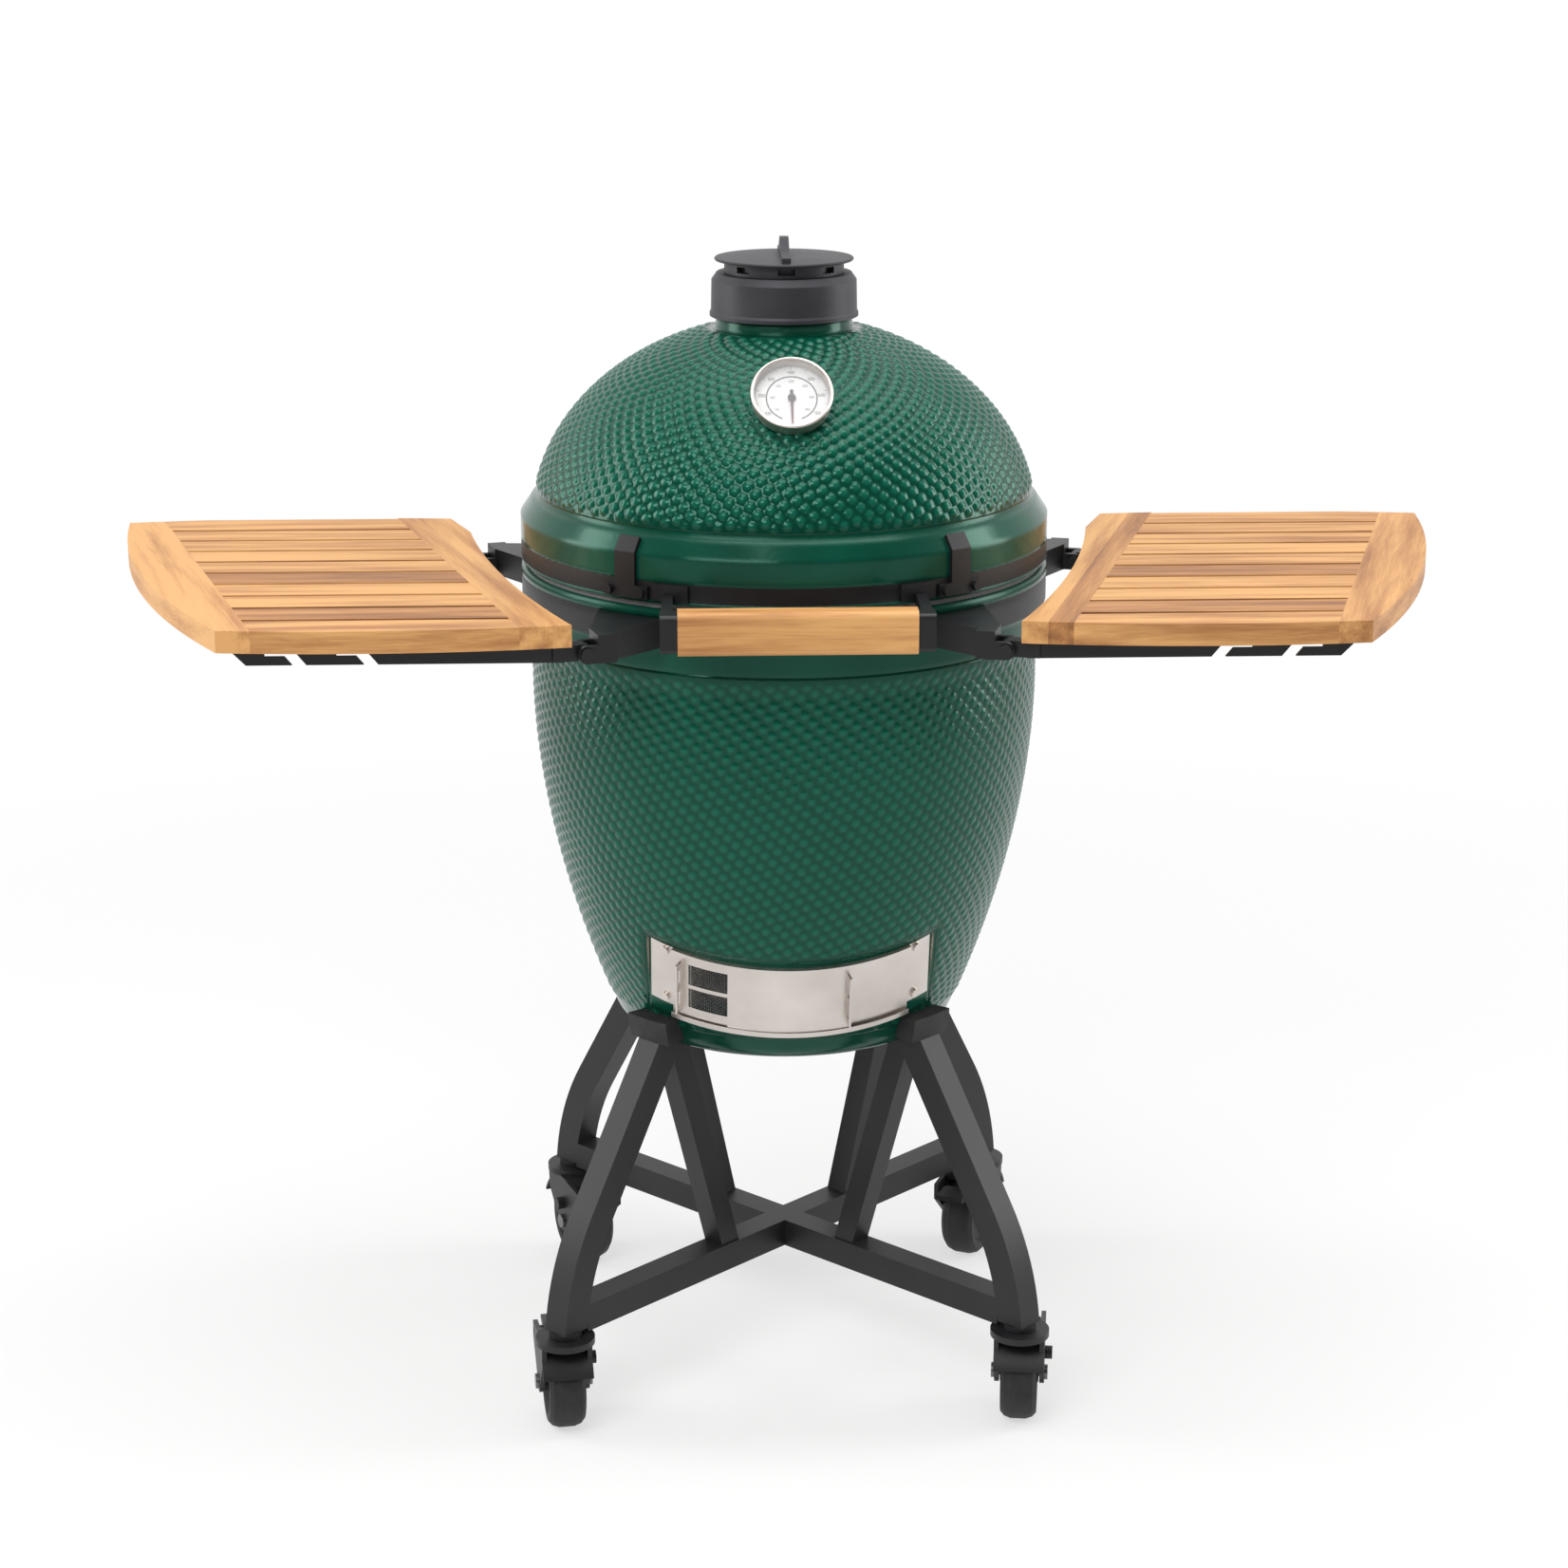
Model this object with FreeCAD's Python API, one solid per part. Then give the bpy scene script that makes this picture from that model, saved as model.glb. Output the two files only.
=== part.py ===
import FreeCAD, Part
import math
import os

# Kamado ceramic grill on a wheeled stand. Millimetres, +Z up, front is -Y,
# origin on the floor under the middle of the egg.

V = FreeCAD.Vector
UP = V(0, 0, 1)
RIGHT = V(1, 0, 0)
FRONT_ANGLE = -90.0

# ---- egg ----
EGG_BOTTOM_Z = 390.0
BELLY_Z = 770.0
BELLY_R = 265.0
RIM_Z = 890.0
BAND_R = BELLY_R + 11.0
BAND_THICKNESS = 3.5
WALL = 26.0
RIM_INNER_R = BAND_R - 32.0
DOME_CENTRE_Z = 930.0
DOME_R = BELLY_R - 2.0
DOME_RISE = 212.0
CHIMNEY_R = 52.0
COLLAR_R = 71.0
COLLAR_TOP_Z = 1146.0
GASKET_THICKNESS = 2.5
GAP = 0.3
DOME_BOTTOM_Z = RIM_Z + 2 * GASKET_THICKNESS + GAP
FLANGE_BOTTOM_Z = 917.0
FLANGE_TOP_Z = 943.0
LOWER_BAND_Z = (853.0, 881.0)
UPPER_BAND_Z = (DOME_BOTTOM_Z + 4.0, FLANGE_BOTTOM_Z)
SEAT_R = BAND_R - BAND_THICKNESS

# ---- thermometer ----
THERMOMETER_Z = 1083.0
THERMOMETER_TILT = 41.0
CASE_R = 39.8

# ---- lid hinge ----
HINGE_Y = BAND_R + 29.0
HINGE_Z = 891.0
HINGE_PIN_R = 6.0
RUNNING_FIT = 0.06

# ---- air door on a cylinder whose axis leans with the taper ----
VENT_LEAN = 19.9
VENT_Z = 465.0
VENT_R = 217.0
AIR_WINDOW = (-28.0, 14.0, -30.0, 32.0)

# ---- shelves ----
SHELF_TOP_Z = 893.0
SHELF_THICKNESS = 22.0
SHELF_SLANT = 0.285
SLATS = 10
SLAT_GAP = 7.0
PIVOT_Z = 862.0
PIVOT_FRONT = (207.0, -300.0)
PIVOT_BACK_Y = 110.0
PIVOT_SLEEVE_R = 9.0
PIVOT_PIN_R = 4.0

# ---- stand ----
TUBE = 30.0
CASTER_HALF_SPACING = (BELLY_R + 72.714) * math.sqrt(0.5)
BAR_BOTTOM_Z = 114.0
LEG_BOTTOM_Z = 118.0
LEG_BEND_R = 258.0
LEG_LEAN = 31.9

# ---- castors ----
WHEEL_R = 50.0
WHEEL_WIDTH = 38.0
TRAIL = 24.0
AXLE_R = 5.0
HOUSING_R = 31.0
HOUSING_TOP_Z = 111.0
CASTER_TURNS = {"fl": 8.0, "fr": -8.0, "bl": 205.0, "br": 155.0}
CASTER_SIDES = {"fl": (-1, -1), "fr": (1, -1), "bl": (-1, 1), "br": (1, 1)}

NODES = {}


def put(name, *solids):
    """Keep the finished solids of one node."""
    NODES[name] = solids[0] if len(solids) == 1 else Part.makeCompound(list(solids))


def radial(r, degrees, z):
    """A point at radius r; 0 degrees is the front and positive turns to the right."""
    a = math.radians(degrees)
    return V(r * math.sin(a), -r * math.cos(a), z)


def wire_face(points):
    """Flat face inside a closed run of straight edges."""
    return Part.Face(Part.makePolygon(list(points) + [points[0]]))


def revolve(points, start=0.0, sweep=360.0):
    """Turn a closed (radius, z) outline about the egg's axis; 0 degrees is the front."""
    face = wire_face([V(r, 0, z) for r, z in points])
    face.rotate(V(), UP, FRONT_ANGLE + start)
    return face.revolve(V(), UP, sweep)


def sector(r0, r1, z0, z1, middle, width):
    """Piece of a ring between two radii and heights, width degrees wide."""
    return revolve([(r0, z0), (r1, z0), (r1, z1), (r0, z1)], middle - width / 2, width)


def ring(r0, r1, z0, z1):
    """Full flat ring."""
    return Part.makeCylinder(r1, z1 - z0, V(0, 0, z0)).cut(Part.makeCylinder(r0, z1 - z0, V(0, 0, z0)))


def rod(start, end, r):
    """Round bar between two points."""
    run = end - start
    return Part.makeCylinder(r, run.Length, start, run)


def box(x, y, z):
    """Box from three (low, high) pairs."""
    return Part.makeBox(x[1] - x[0], y[1] - y[0], z[1] - z[0], V(x[0], y[0], z[0]))


def plate(points, z0, z1):
    """Flat outline in plan, raised from z0 to z1."""
    return wire_face([V(x, y, z0) for x, y in points]).extrude(V(0, 0, z1 - z0))


def mirrored(shape):
    """The same piece on the other side."""
    return shape.mirror(V(), RIGHT)


def base_radius(z):
    """Outside radius of the base below its shoulder."""
    depth = max(BELLY_Z - z, 0.0) / 360.0
    return BELLY_R - 81.0 * depth ** 1.88


def dome_radius(z, r=DOME_R, rise=DOME_RISE):
    """Outside radius of the dome above its flange."""
    return r * math.sqrt(1.0 - ((z - DOME_CENTRE_Z) / rise) ** 2)


def dome_height(radius, r=DOME_R, rise=DOME_RISE):
    """Height of the dome's surface at a radius."""
    return DOME_CENTRE_Z + rise * math.sqrt(1.0 - (radius / r) ** 2)


def curve(points):
    """Smooth edge through (radius, z) points."""
    line = Part.BSplineCurve()
    line.interpolate([V(r, 0, z) for r, z in points])
    return line.toShape()


def lines(points):
    """Straight edges through (radius, z) points."""
    ends = [V(r, 0, z) for r, z in points]
    return [Part.makeLine(a, b) for a, b in zip(ends, ends[1:])]


def spin(edges):
    """Solid of revolution from edges that close in order."""
    face = Part.Face(Part.Wire(edges))
    return face.revolve(V(), UP, 360.0)


def steps(low, high, count):
    """Evenly spaced values with both ends."""
    return [low + (high - low) * i / (count - 1) for i in range(count)]


def base_outline(inset, low, high, count):
    """Smooth side of the base, moved inwards by inset."""
    return [(base_radius(z) - inset, z) for z in steps(low, high, count)]


# ---------------------------------------------------------------- air door frame
def vent_place(shape):
    """Move a shape from the door cylinder's own frame to its leaning place on the egg."""
    lean = math.radians(VENT_LEAN)
    normal = V(0, -math.cos(lean), -math.sin(lean))
    centre = V(0, -base_radius(VENT_Z), VENT_Z) - normal * VENT_R
    shape.rotate(V(), RIGHT, VENT_LEAN)
    shape.translate(centre)
    return shape


def vent_sheet(inner, outer, left, right, low, high):
    """Curved sheet piece: radii past the seat, degrees across, millimetres up the slope."""
    piece = sector(VENT_R + inner, VENT_R + outer, low, high, (left + right) / 2, right - left)
    return piece


def make_vent():
    frame = vent_sheet(0, 1.2, -41.5, 41.5, -30, 46)
    frame = frame.fuse(vent_sheet(0, 1.2, -34, 34, -43, -29))
    for low, high, lip_low, lip_high in ((-43, -41.8, -43, -37), (44.8, 46, 41, 46)):
        frame = frame.fuse(vent_sheet(1.0, 5.2, -34, 34, low, high))
        frame = frame.fuse(vent_sheet(4.2, 5.2, -34, 34, lip_low, lip_high))
    frame = frame.cut(vent_sheet(-1, 1.3, *AIR_WINDOW))
    bolts = []
    for side in (-36.5, 36.5):
        for height in (39.0, -22.0):
            at = radial(VENT_R, side, height)
            away = radial(1, side, 0)
            hole = rod(at - away * 12, at + away * 6, 3.0)
            frame = frame.cut(hole)
            head = rod(at + away * 1.2, at + away * 4.2, 5.0)
            bolts.append(vent_place(head.fuse(rod(at - away * 11, at + away * 1.3, 3.0))))
    put("vent_frame", vent_place(frame.removeSplitter()))
    put("vent_bolts", *bolts)

    door = vent_sheet(3.0, 3.9, -17.5, 15.5, -41.4, 44.4)
    tab = vent_sheet(3.0, 13.0, 14.9, 15.5, -30, 34)
    tab = tab.cut(vent_sheet(6.0, 10.5, 14, 16, -22, -2)).cut(vent_sheet(6.0, 10.5, 14, 16, 6, 26))
    put("vent_door", vent_place(door.fuse(tab).removeSplitter()))

    screen = vent_sheet(1.5, 2.4, -31.5, 1, -41.4, 44.4)
    for low, high in ((-24.0, 1.0), (6.0, 32.0)):
        screen = screen.cut(vent_sheet(1, 3, -29, -1, low, high))
    tab = vent_sheet(1.5, 13.0, -31.5, -30.9, -30, 34)
    tab = tab.cut(vent_sheet(6.0, 10.5, -32, -30, -22, -2)).cut(vent_sheet(6.0, 10.5, -32, -30, 6, 26))
    mesh = [vent_sheet(1.7, 2.1, -29, -1, low, high) for low, high in ((-24.0, 1.0), (6.0, 32.0))]
    put("vent_screen", vent_place(screen.fuse(tab).removeSplitter()))
    put("vent_mesh", *[vent_place(m) for m in mesh])


# ---------------------------------------------------------------- ceramics
def thermometer_place(shape):
    """Move a shape whose axis is +Z onto the dome, looking outwards and up."""
    shape.rotate(V(), RIGHT, 90.0 - THERMOMETER_TILT)
    shape.translate(V(0, -dome_radius(THERMOMETER_Z), THERMOMETER_Z))
    return shape


def base_skin():
    """Edges of the base's outside from the middle of its foot to under the shoulder."""
    floor_r = 150.0
    side = base_outline(0, 412, 800, 12)
    edges = lines([(0, EGG_BOTTOM_Z), (floor_r, EGG_BOTTOM_Z)])
    edges.append(curve([(floor_r, EGG_BOTTOM_Z), (172, 394), side[0]]))
    edges.append(curve(side))
    return edges, side


def make_base():
    outer_edges, side = base_skin()
    inner = base_outline(WALL, 440, 800, 10)
    seat = [side[-1], (268, 822), (270.5, 829), (270.5, 848), (SEAT_R, LOWER_BAND_Z[0]),
            (SEAT_R, LOWER_BAND_Z[1]), (BAND_R, LOWER_BAND_Z[1]), (BAND_R + 0.8, RIM_Z - 5),
            (BAND_R - 0.5, RIM_Z - 1), (BAND_R - 3, RIM_Z), (RIM_INNER_R, RIM_Z), (RIM_INNER_R, 830), inner[-1]]
    outer_edges += lines(seat)
    outer_edges.append(curve(list(reversed(inner))))
    outer_edges += lines([inner[0], (150, 422), (0, 422), (0, EGG_BOTTOM_Z)])
    shell = spin(outer_edges)
    pad = vent_place(vent_sheet(-16, 0, -42.5, 42.5, -46, 49))
    shell = shell.fuse(pad)
    shell = shell.cut(vent_place(vent_sheet(0, 40, -42.5, 42.5, -46, 49)))
    shell = shell.cut(vent_place(vent_sheet(-80, 4, *AIR_WINDOW)))
    for side_angle in (-36.5, 36.5):
        for height in (39.0, -22.0):
            at = radial(VENT_R, side_angle, height)
            away = radial(1, side_angle, 0)
            shell = shell.cut(vent_place(rod(at - away * 12, at + away * 6, 3.0)))
    put("base_shell", shell.removeSplitter())


def make_dome():
    rise_in = DOME_RISE - WALL
    r_in = DOME_R - WALL - 1.0
    top_z = dome_height(COLLAR_R)
    start_z = 962.0
    outer = [(dome_radius(z), z) for z in steps(start_z, 1100, 8)]
    outer += [(r, dome_height(r)) for r in (135, 110, COLLAR_R)]
    inner = [(r_in, DOME_CENTRE_Z)]
    inner += [(dome_radius(z, r_in, rise_in), z) for z in steps(950, 1075, 6)]
    inner += [(r, dome_height(r, r_in, rise_in)) for r in (110, 80, CHIMNEY_R)]
    edges = lines([(r_in, DOME_CENTRE_Z), (RIM_INNER_R, DOME_BOTTOM_Z), (BAND_R - 2, DOME_BOTTOM_Z),
                   (BAND_R, DOME_BOTTOM_Z + 2), (BAND_R, UPPER_BAND_Z[0]), (SEAT_R, UPPER_BAND_Z[0]),
                   (SEAT_R, UPPER_BAND_Z[1]), (BAND_R, UPPER_BAND_Z[1]), (BAND_R, FLANGE_TOP_Z),
                   (BAND_R - 11.5, 960.0), outer[0]])
    edges.append(curve(outer))
    edges += lines([(COLLAR_R, top_z), (COLLAR_R, COLLAR_TOP_Z - 2), (COLLAR_R - 2, COLLAR_TOP_Z),
                    (CHIMNEY_R, COLLAR_TOP_Z), inner[-1]])
    edges.append(curve(list(reversed(inner))))
    dome = spin(edges)
    dome = dome.cut(thermometer_place(Part.makeCylinder(10.3, 20, V(0, 0, -3))))
    dome = dome.cut(thermometer_place(Part.makeCylinder(5.0, 60, V(0, 0, -50))))
    put("dome_shell", dome)
    put("base_gasket", ring(RIM_INNER_R + 2, 270, RIM_Z, RIM_Z + GASKET_THICKNESS))
    put("dome_gasket", ring(RIM_INNER_R + 2, 270, DOME_BOTTOM_Z - GASKET_THICKNESS, DOME_BOTTOM_Z))


def make_inside():
    ledge_z = 500.0
    joint_z = 640.0
    ring_top_z = 790.0
    liner_gap = WALL + 9.0
    outer = base_outline(liner_gap, 445, joint_z, 6)
    inner = base_outline(liner_gap + 22, ledge_z, joint_z, 4)
    edges = lines([(120, 422), (140, 422), outer[0]])
    edges.append(curve(outer))
    edges += lines([outer[-1], inner[-1]])
    edges.append(curve(list(reversed(inner))))
    edges += lines([inner[0], (126, ledge_z), (112, 445), (120, 422)])
    fire_box = spin(edges).cut(vent_place(vent_sheet(-130, 4, AIR_WINDOW[0], AIR_WINDOW[1], -20, 30)))
    put("fire_box", fire_box)
    low_r = base_radius(joint_z) - liner_gap
    top_r = base_radius(ring_top_z) - liner_gap
    put("fire_ring", revolve([(low_r - 22, joint_z), (low_r, joint_z), (top_r, ring_top_z), (top_r - 24, ring_top_z)]))

    grate = Part.makeCylinder(inner[0][0] - 3, 10, V(0, 0, ledge_z))
    slot_pitch = 26.0
    for row in range(-4, 5):
        half = math.sqrt(118.0 ** 2 - (row * slot_pitch) ** 2)
        grate = grate.cut(box((row * slot_pitch - 6, row * slot_pitch + 6), (-half, half), (ledge_z - 1, ledge_z + 11)))
    grate = grate.fuse(box((-120, 120), (-7, 7), (ledge_z, ledge_z + 10)))
    put("fire_grate", grate.removeSplitter())

    wire_r = 4.0
    bar_r = 2.6
    grid_r = 227.8
    wire_z = ring_top_z + wire_r
    grid = Part.makeTorus(grid_r, wire_r, V(0, 0, wire_z))
    bar_z = wire_z + 1.5
    for row in range(-9, 10):
        x = row * 23.0
        half = math.sqrt(grid_r ** 2 - x ** 2)
        grid = grid.fuse(rod(V(x, -half, bar_z), V(x, half, bar_z), bar_r))
    for y in (-75.0, 75.0):
        half = math.sqrt(grid_r ** 2 - y ** 2)
        grid = grid.fuse(rod(V(-half, y, wire_z - 0.5), V(half, y, wire_z - 0.5), 3.2))
    put("cooking_grid", grid)


# ---------------------------------------------------------------- bands, hinge, handle
def clip(middle):
    """Steel clip that hooks over the dome's flange, with a wider foot on the band."""
    out = 4.5
    strap = revolve([(BAND_R, UPPER_BAND_Z[0]), (BAND_R + out, UPPER_BAND_Z[0]), (BAND_R + out, FLANGE_TOP_Z + 2),
                     (BAND_R - 5.5, 959.5), (BAND_R - 9.0, 956.3), (BAND_R, FLANGE_TOP_Z)], middle - 2.5, 5.0)
    foot = sector(BAND_R, BAND_R + out, UPPER_BAND_Z[0], UPPER_BAND_Z[0] + 12.5, middle, 11.0)
    return strap.fuse(foot).removeSplitter()


def hinge_ear(x0, x1, low, high):
    """Plate that runs from the band to the hinge pin."""
    boss = rod(V(x0, HINGE_Y, HINGE_Z), V(x1, HINGE_Y, HINGE_Z), 12.0)
    near = math.sqrt(BAND_R ** 2 - x0 ** 2) + 2
    web = wire_face([V(x0, near, low), V(x0, HINGE_Y - 2, HINGE_Z - 11.8), V(x0, HINGE_Y - 2, HINGE_Z + 11.8),
                     V(x0, near, high)]).extrude(V(x1 - x0, 0, 0))
    return boss.fuse(web)


def make_bands():
    put("lower_band", ring(SEAT_R, BAND_R, *LOWER_BAND_Z))
    put("upper_band", ring(SEAT_R, BAND_R, *UPPER_BAND_Z))
    clip_angles = (-36.5, 36.5, -112.0, 112.0)
    put("band_clips", *[clip(a) for a in clip_angles])
    bolts = []
    bolt_z = UPPER_BAND_Z[0] + 6.2
    for a in clip_angles:
        for side in (-3.9, 3.9):
            away = radial(1, a + side, 0)
            at = radial(BAND_R + 4.5, a + side, bolt_z)
            bolts.append(rod(at, at + away * 4.0, 5.0))
    put("band_bolts", *bolts)

    lower = sector(BAND_R, BAND_R + 5, 855, 879, 180, 36)
    upper = sector(BAND_R, BAND_R + 5, UPPER_BAND_Z[0] + 1, 916, 180, 36)
    pin_line = (V(-72, HINGE_Y, HINGE_Z), V(72, HINGE_Y, HINGE_Z))
    for side in (-1, 1):
        ear = hinge_ear(56, 62, 857, 877)
        lower = lower.fuse(ear if side > 0 else mirrored(ear))
        ear = hinge_ear(48, 54, UPPER_BAND_Z[0] + 2, 914)
        upper = upper.fuse(ear if side > 0 else mirrored(ear))
    put("hinge_lower", lower.cut(rod(*pin_line, HINGE_PIN_R)).removeSplitter())
    put("hinge_upper", upper.cut(rod(*pin_line, HINGE_PIN_R + RUNNING_FIT)).removeSplitter())
    pin = rod(V(-66, HINGE_Y, HINGE_Z), V(66, HINGE_Y, HINGE_Z), HINGE_PIN_R)
    for side in (-1, 1):
        pin = pin.fuse(rod(V(side * 62, HINGE_Y, HINGE_Z), V(side * 67, HINGE_Y, HINGE_Z), 9.0))
    put("hinge_pin", pin.removeSplitter())
    springs = []
    for side in (-1, 1):
        outer = rod(V(side * 5, HINGE_Y, HINGE_Z), V(side * 46, HINGE_Y, HINGE_Z), 10.5)
        springs.append(outer.cut(rod(V(side * 4, HINGE_Y, HINGE_Z), V(side * 47, HINGE_Y, HINGE_Z), 6.4)))
    put("hinge_springs", *springs)


def make_handle():
    half = 115.6
    front_y = -BAND_R - 70.0
    back_y = -BAND_R - 40.0
    low_z = 866.0
    high_z = 909.0
    grip = box((-half, half), (front_y, back_y), (low_z, high_z))
    long_edges = [e for e in grip.Edges if abs(e.Vertexes[0].X - e.Vertexes[1].X) > half]
    grip = grip.makeFillet(7.0, long_edges)
    put("handle_grip", grip)
    collar = box((half, half + 17), (front_y + 3, back_y + 3), (low_z + 2, high_z - 3))
    collar = collar.makeFillet(5.0, [e for e in collar.Edges if abs(e.Vertexes[0].X - e.Vertexes[1].X) > 10])
    arm = box((half + 4, half + 15), (back_y - 6, 40 - BAND_R), (894, 906))
    foot = sector(BAND_R, BAND_R + 4, UPPER_BAND_Z[0], 916, 26, 8)
    bracket = collar.fuse(arm).cut(Part.makeCylinder(BAND_R, 60, V(0, 0, 870))).fuse(foot).removeSplitter()
    put("handle_brackets", bracket, mirrored(bracket))


# ---------------------------------------------------------------- thermometer and top vent
def make_thermometer():
    back = 7.0
    front = 21.0
    inner_r = CASE_R - 2.2
    boss = Part.makeCylinder(10, back + 4, V(0, 0, -3)).fuse(Part.makeCylinder(4.5, 50, V(0, 0, -52)))
    cup = Part.makeCylinder(CASE_R, front - back, V(0, 0, back))
    cup = cup.cut(Part.makeCylinder(inner_r, front - back, V(0, 0, back + 2)))
    lip = Part.makeTorus(CASE_R - 0.6, 1.7, V(0, 0, front))
    case = cup.fuse(boss).fuse(lip).removeSplitter()
    dial_z = back + 2
    dial = Part.makeCylinder(inner_r - 0.2, 1.0, V(0, 0, dial_z))
    dial = dial.cut(Part.makeCylinder(2.0 + RUNNING_FIT, 2, V(0, 0, dial_z - 0.5)))
    hub = Part.makeCylinder(2.0, 3.0, V(0, 0, dial_z + 0.3)).fuse(Part.makeCylinder(4.0, 1.4, V(0, 0, dial_z + 2.0)))
    hand_z = dial_z + 2.2
    hand = wire_face([V(-1.6, 9, hand_z), V(-0.7, -29, hand_z), V(0.7, -29, hand_z), V(1.6, 9, hand_z)])
    needle = hub.fuse(hand.extrude(V(0, 0, 0.8))).removeSplitter()
    lens = Part.makeCylinder(inner_r - 0.1, 2.0, V(0, 0, front - 2.5))
    put("thermometer_case", thermometer_place(case))
    put("thermometer_dial", thermometer_place(dial))
    put("thermometer_needle", thermometer_place(needle))
    put("thermometer_lens", thermometer_place(lens))


def make_cap():
    bore = CHIMNEY_R + 2
    top_z = 1190.0
    body = revolve([(bore, COLLAR_TOP_Z), (77, COLLAR_TOP_Z), (77, COLLAR_TOP_Z + 3.5), (75.6, COLLAR_TOP_Z + 6),
                    (75.0, 1183), (70, top_z), (bore, top_z)])
    pivot_y = 62.0
    pivot = rod(V(0, pivot_y, top_z - 1), V(0, pivot_y, 1201.5), 3.5)
    put("cap_body", body.fuse(pivot).removeSplitter())

    low_z = top_z + GAP
    neck_top_z = 1202.4
    neck = ring(bore + 2, 62, low_z, neck_top_z)
    lug = Part.makeCylinder(8.5, 10, V(0, pivot_y, low_z)).cut(Part.makeCylinder(bore + 2, 20, V(0, 0, low_z - 1)))
    neck = neck.fuse(lug).cut(Part.makeCylinder(3.5 + RUNNING_FIT, 20, V(0, pivot_y, low_z - 1)))
    skirt = ring(bore - 1, bore + 1.7, low_z + 0.5, 1203.5)
    ports = 8
    for i in range(ports):
        turn = i * 360.0 / ports
        neck = neck.cut(sector(bore, 66, low_z + 3.2, 1200.0, turn, 16.0))
        skirt = skirt.cut(sector(bore - 3, 60, low_z + 3.2, 1200.0, turn + 22.5, 16.0))
    put("cap_neck", neck.removeSplitter())

    disc = revolve([(0, 1202.7), (71, 1202.7), (72, 1204.2), (71, 1205.6), (40, 1207), (0, 1207.6)])
    fin = wire_face([V(-4.5, -62, 1204), V(-4.5, -62, 1211), V(-4.5, -24, 1215.5), V(-4.5, -6, 1226),
                     V(-4.5, 8, 1226), V(-4.5, 34, 1213), V(-4.5, 62, 1210), V(-4.5, 62, 1204)])
    disc = disc.fuse(fin.extrude(V(9, 0, 0))).fuse(skirt).removeSplitter()
    put("cap_disc", disc)


# ---------------------------------------------------------------- shelves
def pivot_back():
    """Plan position of the rear shelf pivot, on the slanted hinge line."""
    return (PIVOT_FRONT[0] + SHELF_SLANT * (PIVOT_BACK_Y - PIVOT_FRONT[1]), PIVOT_BACK_Y)


def hinge_frame(at):
    """Pivot point with the outward and lengthwise directions of the shelf's hinge line."""
    length = math.hypot(1.0, SHELF_SLANT)
    along = V(SHELF_SLANT / length, 1.0 / length, 0)
    out = V(1.0 / length, -SHELF_SLANT / length, 0)
    return V(at[0], at[1], PIVOT_Z), out, along


def slanted_box(at, out_range, along_range, z_range):
    """Box squared to the shelf's hinge line."""
    centre, out, along = hinge_frame(at)
    corners = [(out_range[0], along_range[0]), (out_range[1], along_range[0]),
               (out_range[1], along_range[1]), (out_range[0], along_range[1])]
    points = [centre + out * a + along * b for a, b in corners]
    return plate([(p.x, p.y) for p in points], *z_range)


def shelf_outline():
    """Whole wooden top of the right shelf before it is cut into boards."""
    z = SHELF_TOP_Z - SHELF_THICKNESS

    def arc(a, b, c):
        return Part.Arc(V(*a, z), V(*b, z), V(*c, z)).toShape()

    def line(a, b):
        return Part.makeLine(V(*a, z), V(*b, z))

    tip = (217, -320)
    front_out = (557, -330)
    back_out = (714, 196)
    back_in = (362, 206)
    waist = (336, 130)
    edges = [arc(tip, (390, -338), front_out), arc(front_out, (657, -95), back_out),
             arc(back_out, (540, 213), back_in), line(back_in, waist), arc(waist, (300, -62), tip)]
    return Part.Face(Part.Wire(edges)).extrude(V(0, 0, SHELF_THICKNESS))


def between_lines(front_left, front_right):
    """Tall slanted strip between two lines given by their place at the front edge."""
    low_y = -345.0
    high_y = 225.0
    shift = SHELF_SLANT * (high_y - low_y)
    return plate([(front_left, low_y), (front_right, low_y), (front_right + shift, high_y),
                  (front_left + shift, high_y)], SHELF_TOP_Z - SHELF_THICKNESS - 1, SHELF_TOP_Z + 1)


def shelf_rail(at, out_end, notched):
    """Angle bar under the boards that swings on its pivot sleeve."""
    centre, out, along = hinge_frame(at)
    sleeve = rod(centre - along * 10, centre + along * 10, PIVOT_SLEEVE_R - 0.3)
    block = slanted_box(at, (0, 32), (-8.5, 8.5), (855, 871))
    x0 = at[0] + 18
    web_y = at[1] - 12
    web = wire_face([V(x0, web_y, 854), V(out_end - 12, web_y, 854), V(out_end, web_y, 866), V(out_end, web_y, 871),
                     V(x0, web_y, 871)]).extrude(V(0, 4, 0))
    flange = box((x0, out_end), (web_y, web_y + 26), (868, 871))
    if notched:
        for x in (403.0, 472.0):
            notch = wire_face([V(x, web_y - 1, 853), V(x + 12, web_y - 1, 867.5), V(x + 41, web_y - 1, 867.5),
                               V(x + 41, web_y - 1, 862.5), V(x + 22, web_y - 1, 862.5), V(x + 14, web_y - 1, 853)])
            web = web.cut(notch.extrude(V(0, 6, 0)))
    bore = rod(centre - along * 12, centre + along * 12, PIVOT_PIN_R + RUNNING_FIT)
    return sleeve.fuse(block).fuse(web).fuse(flange).cut(bore).removeSplitter()


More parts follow.
